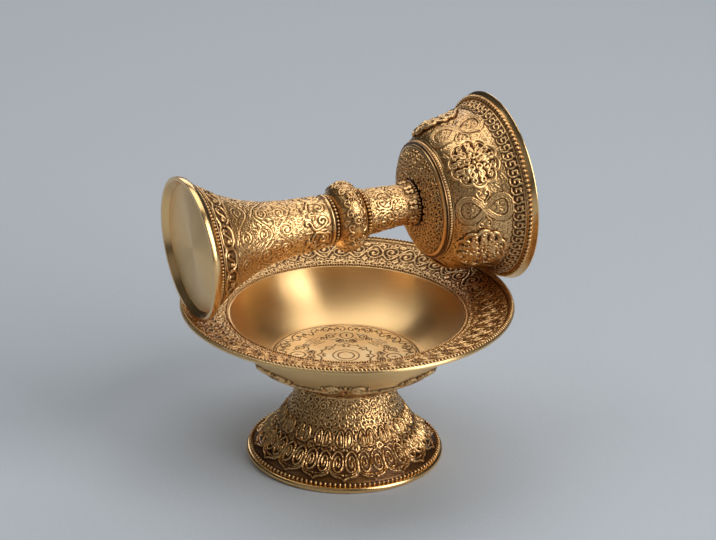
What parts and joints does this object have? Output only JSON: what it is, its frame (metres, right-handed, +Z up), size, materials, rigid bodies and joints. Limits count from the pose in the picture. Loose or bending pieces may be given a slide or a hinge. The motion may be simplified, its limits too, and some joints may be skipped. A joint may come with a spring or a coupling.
{
  "type": "offering bowl with goblet",
  "caption": "Footed brass offering dish with a wide chased flange and a plain basin, and a stemmed goblet that lies across its rim for pouring drink offerings.",
  "frame": {"origin": "centre of the foot's underside, on the dish's axis", "axes": "+Z up along the dish's axis; +X along the goblet as it lies, from its base to its cup"},
  "size_m": [0.1448, 0.14, 0.1477],
  "materials": {
    "chased_brass": "chased relief, dark patina in the recesses and rubbed bright on top",
    "polished_brass": "polished",
    "satin_brass": "satin, brushed round its axis",
    "fastener_steel": "zinc plated"
  },
  "bodies": {
    "bowl": {"dish": "satin_brass", "floor_medallion": "chased_brass", "rim_bead_wire": "polished_brass", "lip_bead_wire": "polished_brass", "foot_collar": "chased_brass", "foot_shell": "chased_brass", "foot_bead_wire": "polished_brass", "foot_ring": "polished_brass", "foot_base_plate": "satin_brass", "pedestal_screw": "fastener_steel", "pedestal_washer": "fastener_steel", "pedestal_nut": "fastener_steel"},
    "goblet": {"cup": "chased_brass", "cup_bead_wire": "polished_brass", "cup_cartouches": "chased_brass", "cup_band": "chased_brass", "calyx": "chased_brass", "stem_collar": "chased_brass", "collar_bead_wire": "polished_brass", "upper_stem": "chased_brass", "knop": "chased_brass", "knop_upper_bead_wire": "polished_brass", "knop_lower_bead_wire": "polished_brass", "trumpet": "chased_brass", "base_bead_wire": "polished_brass", "base_ring": "polished_brass", "base_plate": "satin_brass", "tie_rod": "fastener_steel", "tie_washer": "fastener_steel", "tie_nut": "fastener_steel"}
  },
  "joints": [
    {"name": "goblet_lift", "type": "slide", "parent": "bowl", "child": "goblet", "axis": [0, 0, 1], "range_m": [0, 0.1]}
  ]
}
